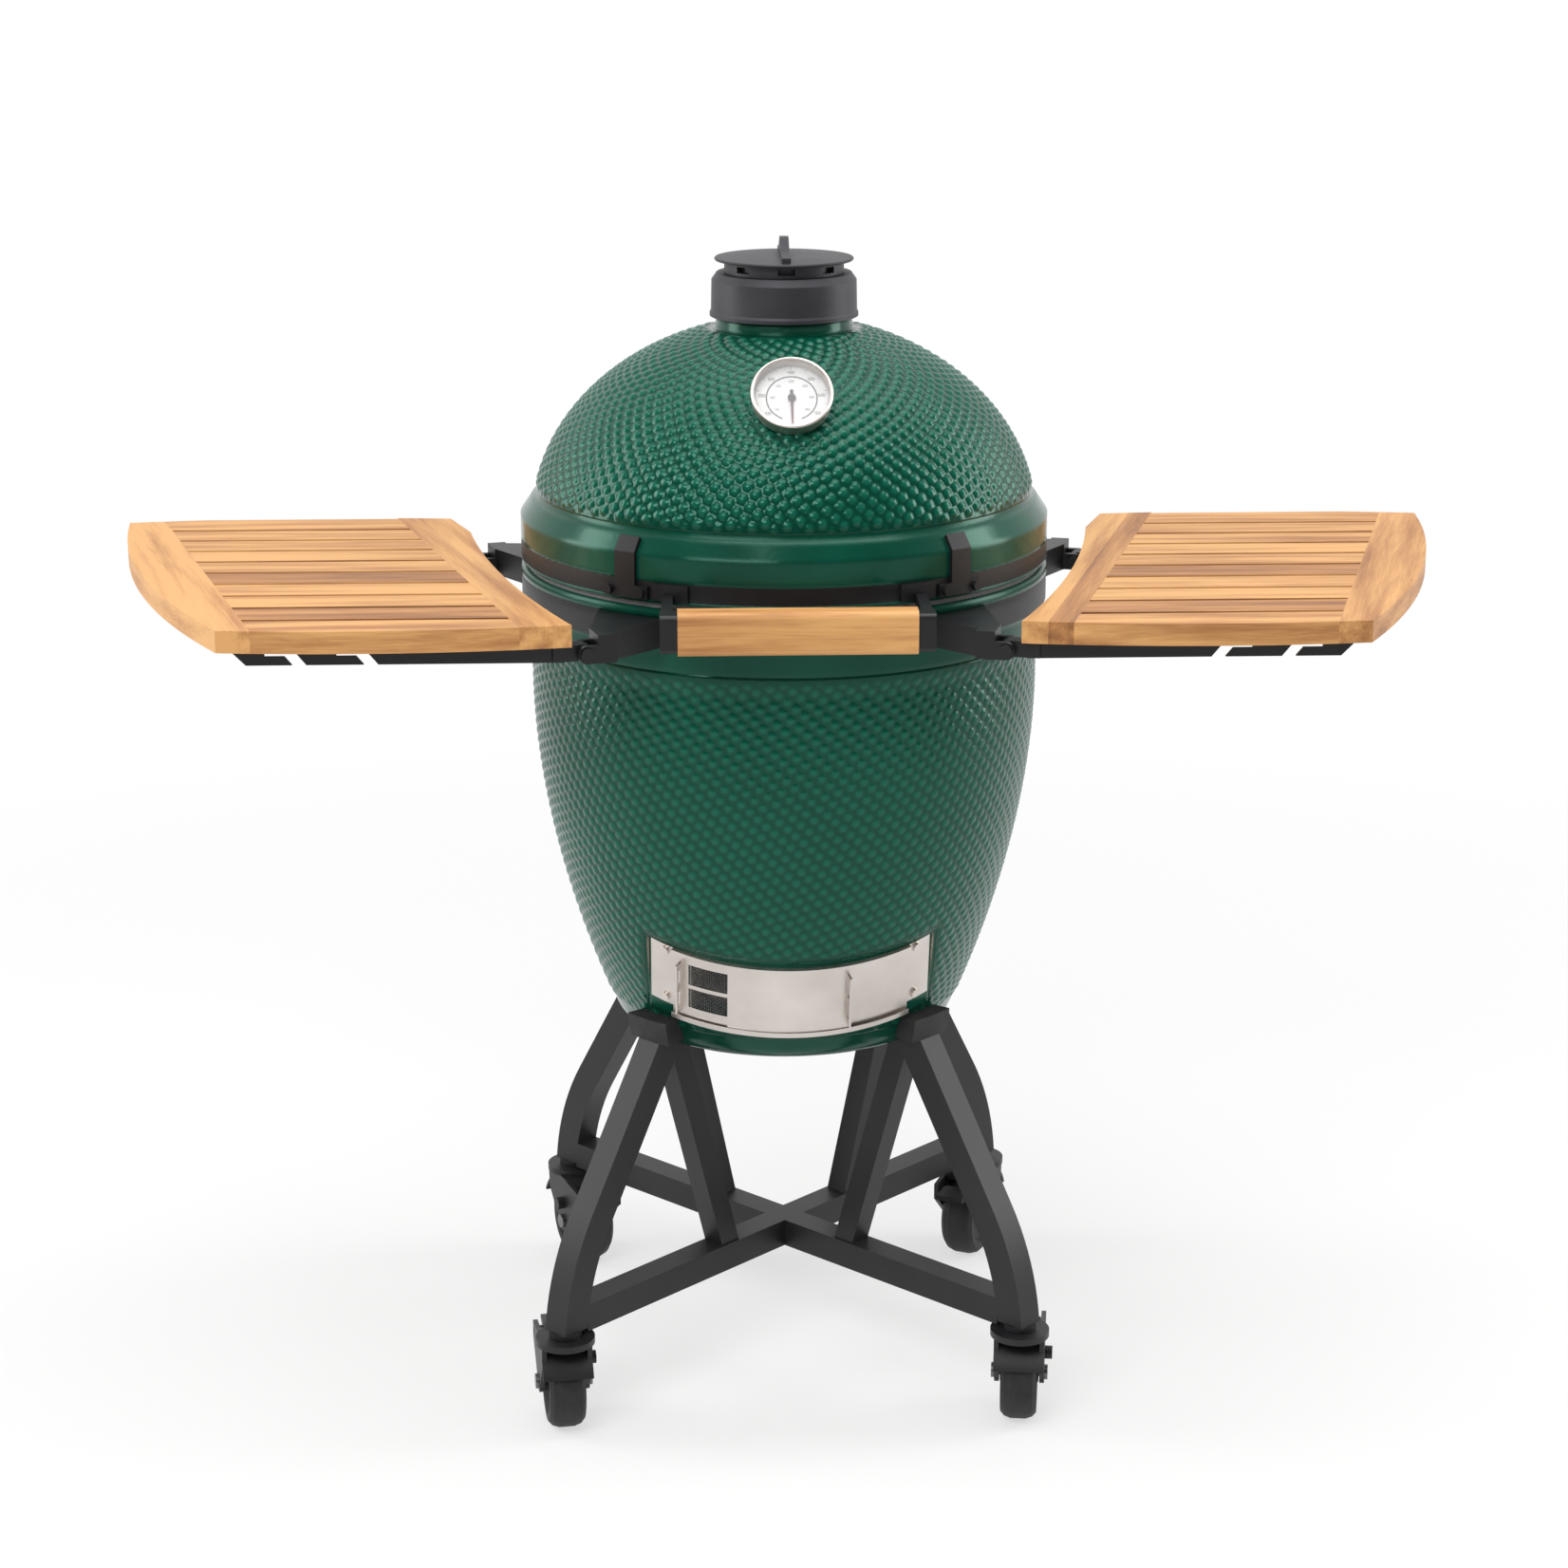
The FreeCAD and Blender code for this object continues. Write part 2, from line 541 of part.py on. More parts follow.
def shelf_bracket(at, band_angles):
    """Fork bolted to the lower band, and its pivot bolt."""
    centre, out, along = hinge_frame(at)
    low_z, high_z = LOWER_BAND_Z
    block = slanted_box(at, (-30, -11), (-17, 17), (low_z, high_z))
    corners = [centre + out * a + along * b for a, b in ((-12, -17), (-12, 17))]
    inner = [radial(BAND_R - 4, a, 0) for a in band_angles]
    web = plate([(p.x, p.y) for p in (corners[0], corners[1], inner[1], inner[0])], low_z, high_z)
    bracket = block.fuse(web)
    for side in (-1, 1):
        ear = rod(centre + along * (side * 10.6), centre + along * (side * 17), PIVOT_SLEEVE_R - 0.3)
        low, high = sorted((side * 10.6, side * 17))
        neck = slanted_box(at, (-12, 0), (low, high), (low_z + 0.4, 870.7))
        bracket = bracket.fuse(ear).fuse(neck)
    bracket = bracket.cut(Part.makeCylinder(BAND_R, 60, V(0, 0, 840)))
    bracket = bracket.cut(rod(centre - along * 18, centre + along * 18, PIVOT_PIN_R))
    pin = rod(centre - along * 17, centre + along * 17, PIVOT_PIN_R)
    for side in (-1, 1):
        pin = pin.fuse(rod(centre + along * (side * 17), centre + along * (side * 21), 7.0))
    return bracket.removeSplitter(), pin.removeSplitter()


def make_shelves():
    outline = shelf_outline()
    inner_line = 262.0
    outer_line = 520.0
    inner_board = outline.common(between_lines(0, inner_line))
    outer_board = outline.common(between_lines(outer_line, 900))
    middle = outline.common(between_lines(inner_line, outer_line))
    pitch = 546.0 / SLATS
    slats = []
    for i in range(SLATS):
        low = -339.0 + i * pitch
        high = low + pitch - (SLAT_GAP if i < SLATS - 1 else 0)
        strip = box((0, 900), (low, high), (SHELF_TOP_Z - SHELF_THICKNESS - 1, SHELF_TOP_Z + 1))
        slats.append(middle.common(strip).Solids[0])
    rails = [shelf_rail(PIVOT_FRONT, 543, True), shelf_rail(pivot_back(), 640, False)]
    front = shelf_bracket(PIVOT_FRONT, (27.0, 45.0))
    back = shelf_bracket(pivot_back(), (98.0, 117.0))
    for side, turn in (("right", lambda s: s), ("left", mirrored)):
        put("shelf_" + side + "_inner_board", turn(inner_board.Solids[0]))
        put("shelf_" + side + "_outer_board", turn(outer_board.Solids[0]))
        put("shelf_" + side + "_slats", *[turn(s) for s in slats])
        put("shelf_" + side + "_rails", *[turn(r) for r in rails])
    put("shelf_brackets", front[0], back[0], mirrored(front[0]), mirrored(back[0]))
    put("shelf_pins", front[1], back[1], mirrored(front[1]), mirrored(back[1]))


# ---------------------------------------------------------------- stand
def diagonal(shape, side):
    """Turn a piece drawn along +X into the diagonal of one corner."""
    sx, sy = side
    shape = shape.copy()
    shape.rotate(V(), UP, math.degrees(math.atan2(sy, sx)))
    return shape


def make_stand():
    half = TUBE / 2 + 1
    bend = (BELLY_R + 33.0, 231.0)
    lean = math.radians(LEG_LEAN)
    foot = math.radians(4.0)
    centre = (bend[0] - LEG_BEND_R * math.cos(lean), bend[1] - LEG_BEND_R * math.sin(lean))
    run = 204.0

    def on_bend(radius, angle):
        return V(centre[0] + radius * math.cos(angle), 0, centre[1] + radius * math.sin(angle))

    def side_points(radius):
        low = on_bend(radius, lean)
        top = low + V(-math.sin(lean), 0, math.cos(lean)) * run
        return top, low, on_bend(radius, (lean + foot) / 2), on_bend(radius, foot)

    outer = side_points(LEG_BEND_R + half)
    inner = side_points(LEG_BEND_R - half)
    edges = [Part.makeLine(outer[0], outer[1]), Part.Arc(outer[1], outer[2], outer[3]).toShape(),
             Part.makeLine(outer[3], inner[3]), Part.Arc(inner[3], inner[2], inner[1]).toShape(),
             Part.makeLine(inner[1], inner[0]), Part.makeLine(inner[0], outer[0])]
    face = Part.Face(Part.Wire(edges))
    face.translate(V(0, -TUBE / 2, 0))
    leg = face.extrude(V(0, TUBE, 0))
    leg = leg.cut(box((0, 500), (-50, 50), (0, LEG_BOTTOM_Z))).cut(box((0, 500), (-50, 50), (404, 600)))

    bar_top = BAR_BOTTOM_Z + TUBE
    strut_half = 13.0
    foot_r = BELLY_R - 165.0
    head_r = BELLY_R - 85.0
    strut = wire_face([V(foot_r - strut_half, -13, bar_top), V(foot_r + strut_half, -13, bar_top),
                       V(head_r + strut_half, -13, 404), V(head_r - strut_half, -13, 404)]).extrude(V(0, 26, 0))
    skin, side = base_skin()
    egg = spin(skin + lines([side[-1], (0, side[-1][1]), (0, EGG_BOTTOM_Z)]))
    leg = leg.cut(egg)
    strut = strut.cut(leg).cut(egg)
    strut = max(strut.Solids, key=lambda s: s.Volume)
    bar = box((0, BELLY_R + 54), (-TUBE / 2, TUBE / 2), (BAR_BOTTOM_Z, bar_top)).cut(leg)
    bar = min(bar.Solids, key=lambda s: s.BoundBox.XMin)

    pad = sector(head_r - 30, head_r + 34, 392, 430, 90, 15).cut(egg)
    pad_outer = Part.makeCone(head_r + 25, head_r + 36, 50, V(0, 0, 385))
    pad = pad.common(pad_outer)
    pad = pad.cut(leg).cut(strut).cut(box((head_r - 40, head_r + 50), (-40, 40), (380, 404)))
    pad = max(pad.Solids, key=lambda s: s.Volume)

    corners = list(CASTER_SIDES.values())
    put("nest_legs", *[diagonal(leg, c) for c in corners])
    bars = [diagonal(bar, c) for c in corners]
    bars = [bars[0].fuse(bars[3]).removeSplitter(), bars[1], bars[2]]
    bars[1] = bars[1].cut(bars[0])
    bars[2] = bars[2].cut(bars[0])
    put("nest_frame", *bars, *[diagonal(strut, c) for c in corners])
    put("cradle_pads", *[diagonal(pad, c) for c in corners])


# ---------------------------------------------------------------- castors
def make_caster_parts():
    """One castor about its own swivel line, with the wheel trailing towards +Y."""
    axle_y = TRAIL
    cheek_in = 21.5
    cheek_out = 26.5
    top = ring(7.0 + RUNNING_FIT, HOUSING_R, 104, HOUSING_TOP_Z)
    fork = top
    for side in (-1, 1):
        x0 = min(side * cheek_in, side * cheek_out)
        cheek = wire_face([V(x0, -16, 106), V(x0, -13, 80), V(x0, axle_y - 11, 46), V(x0, axle_y + 11, 46),
                           V(x0, 73, 80), V(x0, 73, 98), V(x0, 16, 106)]).extrude(V(cheek_out - cheek_in, 0, 0))
        cheek = cheek.fuse(rod(V(x0, axle_y, 50), V(x0 + cheek_out - cheek_in, axle_y, 50), 12.0))
        fork = fork.fuse(cheek)
    crown = Part.makeCylinder(55, 2 * cheek_out, V(-cheek_out, axle_y, 50), RIGHT)
    crown = crown.cut(Part.makeCylinder(52, 2 * cheek_out, V(-cheek_out, axle_y, 50), RIGHT))
    crown = crown.common(box((-30, 30), (-32, 48), (72, 108)))
    fork = fork.fuse(crown).fuse(box((-cheek_out, cheek_out), (-14, 14), (104, 107)))
    fork = fork.cut(Part.makeCylinder(7.0 + RUNNING_FIT, 40, V(0, 0, 100)))
    fork = fork.cut(Part.makeCylinder(11.5, 8, V(0, 0, 96)))
    knob = rod(V(cheek_out, axle_y, 73), V(cheek_out + 8, axle_y, 73), 7.0)
    fork = fork.fuse(knob)
    fork = fork.cut(rod(V(-40, axle_y, 50), V(40, axle_y, 50), AXLE_R))
    pedal_y = 66.0
    pedal_z = 89.0
    pedal_pin = rod(V(-30, pedal_y, pedal_z), V(30, pedal_y, pedal_z), 3.0)
    pedal = wire_face([V(-16, pedal_y - 5, pedal_z + 5), V(-16, pedal_y + 5, pedal_z + 6), V(-16, 94, 94),
                       V(-16, 96, 89), V(-16, pedal_y + 7, pedal_z - 4)]).extrude(V(32, 0, 0))
    pedal = pedal.fuse(rod(V(-20.8, pedal_y, pedal_z), V(20.8, pedal_y, pedal_z), 5.0))
    pedal = pedal.fuse(rod(V(-26, pedal_y, pedal_z), V(26, pedal_y, pedal_z), 3.0 - RUNNING_FIT))
    fork = fork.cut(pedal_pin)

    axle = rod(V(-cheek_out, axle_y, 50), V(cheek_out, axle_y, 50), AXLE_R)
    for side in (-1, 1):
        axle = axle.fuse(rod(V(side * cheek_out, axle_y, 50), V(side * (cheek_out + 3.5), axle_y, 50), 8.0))
    w = WHEEL_WIDTH / 2
    profile = [(AXLE_R + RUNNING_FIT, -w - 1.5), (11, -w - 1.5), (11, -w + 5), (33, -w + 5), (36, -w), (43, -w),
               (47.5, -w + 4), (WHEEL_R, -w + 11), (WHEEL_R, w - 11), (47.5, w - 4), (43, w), (36, w),
               (33, w - 5), (11, w - 5), (11, w + 1.5), (AXLE_R + RUNNING_FIT, w + 1.5)]
    wheel = wire_face([V(x, axle_y, 50 + r) for r, x in profile])
    wheel = wheel.revolve(V(0, axle_y, 50), RIGHT, 360)
    return {"fork": fork.removeSplitter(), "axle": axle.removeSplitter(), "wheel": wheel,
            "pedal": pedal.removeSplitter()}


def make_casters():
    parts = make_caster_parts()
    plate_z = HOUSING_TOP_Z + GAP
    stem = Part.makeCylinder(7.0, LEG_BOTTOM_Z - 101.7, V(0, 0, 101.7))
    stem = stem.fuse(Part.makeCylinder(17, LEG_BOTTOM_Z - plate_z, V(0, 0, plate_z)))
    stem = stem.fuse(Part.makeCylinder(11, 2, V(0, 0, 101.7))).removeSplitter()
    stems = []
    for name, (sx, sy) in CASTER_SIDES.items():
        at = V(sx * CASTER_HALF_SPACING, sy * CASTER_HALF_SPACING, 0)
        for part, shape in parts.items():
            shape = shape.copy()
            shape.rotate(V(), UP, CASTER_TURNS[name])
            shape.translate(at)
            put("caster_" + name + "_" + part, shape)
        stem_here = stem.copy()
        stem_here.translate(at)
        stems.append(stem_here)
    put("caster_stems", *stems)


def main():
    os.makedirs("parts", exist_ok=True)
    make_vent()
    make_base()
    make_dome()
    make_inside()
    make_bands()
    make_handle()
    make_thermometer()
    make_cap()
    make_shelves()
    make_stand()
    make_casters()
    for name, shape in NODES.items():
        shape.exportStep("parts/" + name + ".step")


main()
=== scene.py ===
import bpy
import math
import numpy as np
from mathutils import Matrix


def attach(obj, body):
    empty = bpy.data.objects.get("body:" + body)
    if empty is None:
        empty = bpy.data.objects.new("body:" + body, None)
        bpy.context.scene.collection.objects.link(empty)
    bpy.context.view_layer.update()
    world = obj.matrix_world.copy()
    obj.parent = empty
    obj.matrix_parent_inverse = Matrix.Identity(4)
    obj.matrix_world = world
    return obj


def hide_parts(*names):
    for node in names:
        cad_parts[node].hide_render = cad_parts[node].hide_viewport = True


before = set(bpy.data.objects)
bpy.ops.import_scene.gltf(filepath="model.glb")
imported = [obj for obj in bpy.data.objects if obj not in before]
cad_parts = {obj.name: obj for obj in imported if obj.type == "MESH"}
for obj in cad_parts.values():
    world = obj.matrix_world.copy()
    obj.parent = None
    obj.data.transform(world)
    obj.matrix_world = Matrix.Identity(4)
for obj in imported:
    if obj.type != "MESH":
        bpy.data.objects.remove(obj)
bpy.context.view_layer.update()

# ---------------------------------------------------------------- glazed shells
# The base and the dome are thick fired clay under a green glaze.
# The outside is moulded into small round pebbles, laid in one long spiral so that they fit closely.
# Bare clay shows inside and on the rims that meet.
BELLY_R = 0.265
BELLY_Z = 0.770
TAPER = (0.081, 0.360, 1.88)          # how far in, over what depth, and the curve's power
SHOULDER = (0.0055, 0.800, 0.029)     # how far out, from what height, and over what height
DOME_SIZE = (0.263, 0.212, 0.930)     # radius, rise and height of the dome's centre
PEBBLE_AREA = 0.000138
PEBBLE_REACH = 0.0088
GOLDEN_TURN = (3.0 - math.sqrt(5.0)) / 2.0
OUTLINE_STEPS = 4000
COLUMNS = 800
ROW_STEP = 0.00195
DOME_RELIEF = 0.0025
BASE_RELIEF = 0.0017
BASE_ZONE = (0.416, 0.826)            # heights between which the pebbles lie
DOME_ZONE = (0.9645, 1.1335)
SKIN_GAP = 0.00025
LIP = 0.0022
FLAT_EDGE = 0.0035
VENT_R = 0.217
VENT_Z = 0.465
VENT_LEAN = math.radians(19.9)
RECESS_TURN = math.radians(42.5)      # the air door's recess, half its angle and its two ends
RECESS_ENDS = (-0.046, 0.049)
EDGE_ROUNDING = 0.007
GLAZE_ROUGHNESS = 0.17
CLAY_ROUGHNESS = 0.9
GLAZE_DARK = (0.0010, 0.032, 0.019, 1)
GLAZE_MID = (0.0018, 0.055, 0.033, 1)
GLAZE_THIN = (0.0045, 0.090, 0.056, 1)
GLAZE_SHINE = (0.42, 0.86, 0.68, 1)
CLAY = (0.50, 0.42, 0.33, 1)
CLAY_DARK = (0.36, 0.29, 0.22, 1)


def new_material(name, **settings):
    """Material with one main shader whose sockets take the settings as plain values."""
    material = bpy.data.materials.new(name)
    material.use_nodes = True
    shader = material.node_tree.nodes["Principled BSDF"]
    for key, value in settings.items():
        shader.inputs[key.replace("_", " ")].default_value = value
    return material


def node(material, kind, properties=None, **inputs):
    """Add a shader node; an input is either a plain value or another node's output."""
    made = material.node_tree.nodes.new(kind)
    for key, value in (properties or {}).items():
        setattr(made, key, value)
    for key, value in inputs.items():
        socket = made.inputs[key.replace("_", " ")]
        if isinstance(value, bpy.types.NodeSocket):
            material.node_tree.links.new(value, socket)
        else:
            socket.default_value = value
    return made


def reckon(material, operation, *inputs, kind="ShaderNodeMath", output=0):
    """Sum, product or other reckoning; each input is a plain value or another node's output."""
    made = node(material, kind, {"operation": operation})
    for socket, value in zip(made.inputs, inputs):
        if isinstance(value, bpy.types.NodeSocket):
            material.node_tree.links.new(value, socket)
        else:
            socket.default_value = value
    return made.outputs[output]


def rescale(material, amount, low, high, new_low=0.0, new_high=1.0, clamp=True):
    """Stretch an amount from one range of values onto another."""
    made = node(material, "ShaderNodeMapRange", {"clamp": clamp}, Value=amount, From_Min=low, From_Max=high,
                To_Min=new_low, To_Max=new_high)
    return made.outputs["Result"]


def ramp(material, amount, *stops):
    """Colour that runs through the stops (place, colour) as the amount goes from 0 to 1."""
    made = node(material, "ShaderNodeValToRGB", Fac=amount)
    points = made.color_ramp.elements
    while len(points) < len(stops):
        points.new(0.5)
    for point, (place, colour) in zip(points, stops):
        point.position = place
        point.color = colour
    return made.outputs["Color"]


def grey(level):
    """Plain grey as a colour."""
    return (level, level, level, 1)


def place_of(material, scale=(1, 1, 1), turn=(0, 0, 0)):
    """Object coordinates, turned and then stretched along each axis."""
    source = node(material, "ShaderNodeTexCoord").outputs["Object"]
    turned = node(material, "ShaderNodeMapping", Vector=source, Rotation=turn).outputs["Vector"]
    return node(material, "ShaderNodeMapping", Vector=turned, Scale=scale).outputs["Vector"]


def noise(material, scale, detail=3.0, vector=None):
    """Cloudy amount between 0 and 1; scale counts the clouds in a metre."""
    vector = vector or place_of(material)
    return node(material, "ShaderNodeTexNoise", Vector=vector, Scale=scale, Detail=detail).outputs["Fac"]


def wire_up(material, **links):
    """Join outputs to the main shader's sockets."""
    shader = material.node_tree.nodes["Principled BSDF"]
    for key, output in links.items():
        material.node_tree.links.new(output, shader.inputs[key.replace("_", " ")])


def bump(material, height, strength, distance, **under):
    """Small relief in metres from a height between 0 and 1, over the surface's own or a given normal."""
    made = node(material, "ShaderNodeBump", Height=height, Strength=strength, Distance=distance, **under)
    return made.outputs["Normal"]


def dress(material, *names):
    """Give CAD nodes a material in every slot."""
    for name in names:
        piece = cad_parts[name]
        for holder in piece.material_slots:
            holder.material = material
        if not piece.material_slots:
            piece.data.materials.append(material)


def build(name, sheets, material, body):
    """One mesh from sheets of points, each with a row and a column number, joined into four-sided faces.

    Rows go up and columns go round anticlockwise, so faces look outwards. Each sheet is (points, wrap,
    keep): wrap joins the last column to the first and keep picks faces.
    """
    corners = []
    faces = []
    count = 0
    for points, wrap, keep in sheets:
        rows, columns = points.shape[:2]
        number = np.arange(rows * columns).reshape(rows, columns) + count
        right = np.roll(number, -1, axis=1)
        quads = np.stack([number[:-1], right[:-1], right[1:], number[1:]], axis=-1)
        quads = quads if wrap else quads[:, :-1]
        quads = quads.reshape(-1, 4) if keep is None else quads[keep]
        corners.append(points.reshape(-1, 3))
        faces.append(quads)
        count += rows * columns
    mesh = bpy.data.meshes.new(name)
    mesh.from_pydata(np.concatenate(corners), [], np.concatenate(faces))
    mesh.update()
    mesh.shade_smooth()
    piece = bpy.data.objects.new(name, mesh)
    bpy.context.scene.collection.objects.link(piece)
    mesh.materials.append(material)
    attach(piece, body)
    return piece


def base_profile(z):
    """Base radius: belly radius less a power curve of the depth below the belly, plus a smooth shoulder."""
    inward, depth, power = TAPER
    outward, shoulder_z, shoulder_height = SHOULDER
    below = np.clip(BELLY_Z - z, 0.0, None) / depth
    above = np.clip((z - shoulder_z) / shoulder_height, 0.0, 1.0)
    return BELLY_R - inward * below ** power + outward * above ** 2 * (3 - 2 * above)


def dome_profile(z):
    """Dome radius: an upright ellipse about the dome's centre."""
    width, rise, centre = DOME_SIZE
    return width * np.sqrt(1.0 - ((z - centre) / rise) ** 2)


def dimpled_skin(profile, low, high, height, clear_of=None):
    """Skin of round pebbles over a turned outline.

    The pebbles follow one long spiral: each is turned by the golden angle from the last and takes the same
    area. A point's height is half of one plus the cosine of its distance to the nearest pebble's middle.
    The skin lies flat and then dips into the clay at both ends and round any fitting it must keep clear of.
    """
    z = np.linspace(low, high, OUTLINE_STEPS)
    radius = profile(z)
    steps = np.hypot(np.diff(z), np.diff(radius))
    length = np.concatenate([[0.0], np.cumsum(steps)])
    area = np.concatenate([[0.0], np.cumsum(np.pi * steps * (radius[1:] + radius[:-1]))])
    rows = int(round(length[-1] / ROW_STEP))
    row_length = np.linspace(0.0, length[-1], rows + 1)
    row_z = np.interp(row_length, length, z)
    row_radius = profile(row_z)
    turn = np.arange(COLUMNS) / COLUMNS
    middle = np.arange(int(area[-1] / PEBBLE_AREA))
    middle_turn = middle * GOLDEN_TURN % 1.0
    middle_length = np.interp((middle + 0.5) * PEBBLE_AREA, area, length)
    relief = np.zeros((rows + 1, COLUMNS))
    for row in range(rows + 1):
        near = np.abs(middle_length - row_length[row]) < PEBBLE_REACH
        gap = (turn[:, None] - middle_turn[None, near] + 0.5) % 1.0 - 0.5
        rise = (middle_length[near] - row_length[row])[None, :]
        distance = np.hypot(gap * 2 * np.pi * row_radius[row], rise)
        relief[row] = 0.5 + 0.5 * np.cos(np.pi * np.clip(distance.min(axis=1) / PEBBLE_REACH, 0.0, 1.0))
    ends = np.minimum(row_length, length[-1] - row_length)[:, None] + 0 * turn[None, :]
    angle = 2 * np.pi * turn[None, :]
    flat = np.stack([row_radius[:, None] * np.cos(angle), row_radius[:, None] * np.sin(angle),
                     row_z[:, None] + 0 * angle], axis=-1)
    room = ends if clear_of is None else np.minimum(ends, clear_of(flat))
    relief = relief * np.clip((room - FLAT_EDGE) / (2 * FLAT_EDGE), 0.0, 1.0)
    stand = np.where(room > FLAT_EDGE / 2, SKIN_GAP, -LIP) + height * relief
    slope = np.gradient(row_radius, row_z)[:, None]
    tilt = np.hypot(1.0, slope)
    out = row_radius[:, None] + stand / tilt
    up = row_z[:, None] - stand * slope / tilt
    return np.stack([out * np.cos(angle), out * np.sin(angle), up], axis=-1), relief, room


def vent_distance(points):
    """How far points lie outside the recess of the air door, measured along its leaning cylinder."""
    lean_y = -base_profile(VENT_Z) + VENT_R * math.cos(VENT_LEAN)
    lean_z = VENT_Z + VENT_R * math.sin(VENT_LEAN)
    y = points[..., 1] - lean_y
    z = points[..., 2] - lean_z
    along = -y * math.sin(VENT_LEAN) + z * math.cos(VENT_LEAN)
    across = y * math.cos(VENT_LEAN) + z * math.sin(VENT_LEAN)
    sideways = VENT_R * (np.abs(np.arctan2(points[..., 0], -across)) - RECESS_TURN)
    return np.maximum(sideways, np.maximum(RECESS_ENDS[0] - along, along - RECESS_ENDS[1]))


def glaze_material(name):
    """Clear hard glass: sharp highlights with a green tint."""
    return new_material(name, Roughness=GLAZE_ROUGHNESS, IOR=1.5, Specular_IOR_Level=0.42,
                        Specular_Tint=GLAZE_SHINE)


def make_dimpled_glaze():
    """Glaze on the pebbles: dark where it pools in the furrows, thin and light on the crests."""
    material = glaze_material("glaze_dimpled")
    relief = node(material, "ShaderNodeAttribute", {"attribute_name": "relief"}).outputs["Fac"]
    depth = reckon(material, "MULTIPLY_ADD", noise(material, 9.0, 4.0), 0.35, relief)
    colour = ramp(material, depth, (0.12, GLAZE_DARK), (0.62, GLAZE_MID), (1.0, GLAZE_THIN))
    wire_up(material, Base_Color=colour, Normal=bump(material, noise(material, 160.0, 4.0), 0.25, 0.0004))
    return material


def make_smooth_glaze():
    """Glaze on the shells' plain outside, with softened edges, and rough bare clay on their inside.

    A face is inside where its normal points towards the egg's axis: the product of the normal and the
    level part of the place is then less than nothing.
    """
    material = glaze_material("glaze_smooth")
    glaze = ramp(material, noise(material, 9.0, 4.0), (0.3, GLAZE_DARK), (0.62, GLAZE_MID), (0.9, GLAZE_THIN))
    clay = ramp(material, noise(material, 120.0, 5.0), (0.2, CLAY_DARK), (0.8, CLAY))
    source = node(material, "ShaderNodeTexCoord")
    vectors = "ShaderNodeVectorMath"
    level = reckon(material, "MULTIPLY", source.outputs["Object"], (1, 1, 0), kind=vectors, output="Vector")
    facing = reckon(material, "DOT_PRODUCT", source.outputs["Normal"], level, kind=vectors, output="Value")
    glazed = rescale(material, facing, -0.004, 0.0)
    mixed = node(material, "ShaderNodeMix", {"data_type": "RGBA"}, Factor=glazed)
    material.node_tree.links.new(clay, mixed.inputs[6])
    material.node_tree.links.new(glaze, mixed.inputs[7])
    rounded = node(material, "ShaderNodeBevel", {"samples": 6}, Radius=EDGE_ROUNDING).outputs["Normal"]
    wire_up(material, Base_Color=mixed.outputs[2],
            Roughness=rescale(material, glazed, 0.0, 1.0, CLAY_ROUGHNESS, GLAZE_ROUGHNESS),
            Normal=bump(material, noise(material, 160.0, 4.0), 0.25, 0.0004, Normal=rounded))
    return material


def add_relief(piece, relief):
    """Keep each point's pebble height on the mesh for the glaze to read."""
    layer = piece.data.attributes.new("relief", "FLOAT", "POINT")
    layer.data.foreach_set("value", relief.astype(np.float32).ravel())


dress(make_smooth_glaze(), "base_shell", "dome_shell")
glaze_dimpled = make_dimpled_glaze()
for part, profile, zone, height, clear_of, body in (
        ("base", base_profile, BASE_ZONE, BASE_RELIEF, vent_distance, "grill"),
        ("dome", dome_profile, DOME_ZONE, DOME_RELIEF, None, "lid")):
    points, relief, room = dimpled_skin(profile, *zone, height, clear_of)
    middle = len(points) // 2
    for half, rows in (("lower", slice(0, middle + 1)), ("upper", slice(middle, None))):
        inside = room[rows]
        lowest = np.minimum(inside[:-1], inside[1:])
        keep = np.minimum(lowest, np.roll(lowest, -1, axis=1)) > -ROW_STEP / 2
        skin = build(part + "_skin_" + half, [(points[rows], True, keep)], glaze_dimpled, body)
        add_relief(skin, relief[rows])

# ---------------------------------------------------------------- firing parts
# The fire box and fire ring are bare cordierite; the grate under the coals is cast iron and the
# cooking grid is welded steel rod. They stand loose in the base, one on another.
liner = new_material("bare_cordierite", Roughness=0.9)
speck = noise(liner, 220.0, 6.0)
wire_up(liner, Base_Color=ramp(liner, speck, (0.25, (0.30, 0.25, 0.20, 1)), (0.7, CLAY)))
wire_up(liner, Normal=bump(liner, speck, 0.5, 0.0006))
dress(liner, "fire_box", "fire_ring")

cast_iron = new_material("cast_iron", Metallic=0.6, Roughness=0.62)
pitting = noise(cast_iron, 420.0, 5.0)
wire_up(cast_iron, Base_Color=ramp(cast_iron, pitting, (0.2, grey(0.015)), (0.8, grey(0.06))))
wire_up(cast_iron, Normal=bump(cast_iron, pitting, 0.5, 0.0005))
dress(cast_iron, "fire_grate")

felt = new_material("heat_felt", Roughness=1.0, Sheen_Weight=0.4)
fibre = noise(felt, 900.0, 6.0)
wire_up(felt, Base_Color=ramp(felt, fibre, (0.2, grey(0.10)), (0.8, grey(0.26))))
wire_up(felt, Normal=bump(felt, fibre, 0.7, 0.0006))
dress(felt, "base_gasket", "dome_gasket")

# ---------------------------------------------------------------- bands and hinge
# Two flat steel bands are clamped round the rims by bolted clips; behind, plates on the bands carry
# a hinge pin. Everything is coated black; a pair of wound springs takes the dome's weight.
COIL_R = 0.0090
COIL_WIRE_R = 0.00145
COIL_TURNS = 12
COIL_STEPS = 20
COIL_ENDS = (0.0065, 0.0445)
HINGE_AT = (0.305, 0.891)

